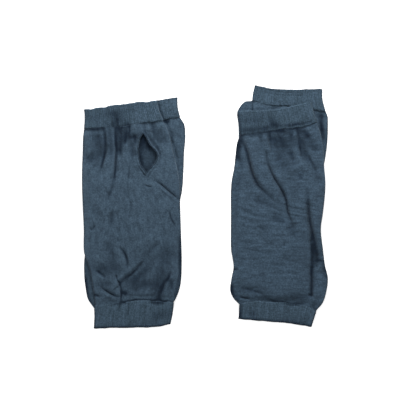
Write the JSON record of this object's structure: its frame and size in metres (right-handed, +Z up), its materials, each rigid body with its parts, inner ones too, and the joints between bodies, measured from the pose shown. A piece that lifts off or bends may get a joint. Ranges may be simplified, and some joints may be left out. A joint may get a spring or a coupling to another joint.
{
  "type": "knitted arm warmers",
  "caption": "Knitted arm warmers laid flat side by side, each over another, with ribbed hand bands, softly creased bodies, ribbed cuffs and a thumb hole.",
  "frame": {"origin": "centre of the bounding box's footprint, on the surface the warmers lie on", "axes": "+X to the right across both stacks, +Y towards the hand ends, +Z up from the surface"},
  "size_m": [0.2653, 0.2632, 0.0125],
  "materials": {
    "left_upper_band_knit": "soft heathered knit",
    "left_upper_body_knit": "soft heathered knit",
    "left_upper_cuff_knit": "soft heathered knit",
    "left_thumb_edge_knit": "soft heathered knit",
    "left_under_band_knit": "soft heathered knit",
    "left_under_body_knit": "soft heathered knit",
    "left_under_cuff_knit": "soft heathered knit",
    "right_upper_band_knit": "soft heathered knit",
    "right_upper_body_knit": "soft heathered knit",
    "right_upper_cuff_knit": "soft heathered knit",
    "right_under_band_knit": "soft heathered knit",
    "right_under_body_knit": "soft heathered knit",
    "right_under_cuff_knit": "soft heathered knit"
  },
  "bodies": {
    "root": {"left_upper_band": "left_upper_band_knit", "left_upper_body": "left_upper_body_knit", "left_upper_cuff": "left_upper_cuff_knit", "left_thumb_edge": "left_thumb_edge_knit", "left_under_band": "left_under_band_knit", "left_under_body": "left_under_body_knit", "left_under_cuff": "left_under_cuff_knit", "right_upper_band": "right_upper_band_knit", "right_upper_body": "right_upper_body_knit", "right_upper_cuff": "right_upper_cuff_knit", "right_under_band": "right_under_band_knit", "right_under_body": "right_under_body_knit", "right_under_cuff": "right_under_cuff_knit"}
  },
  "joints": []
}
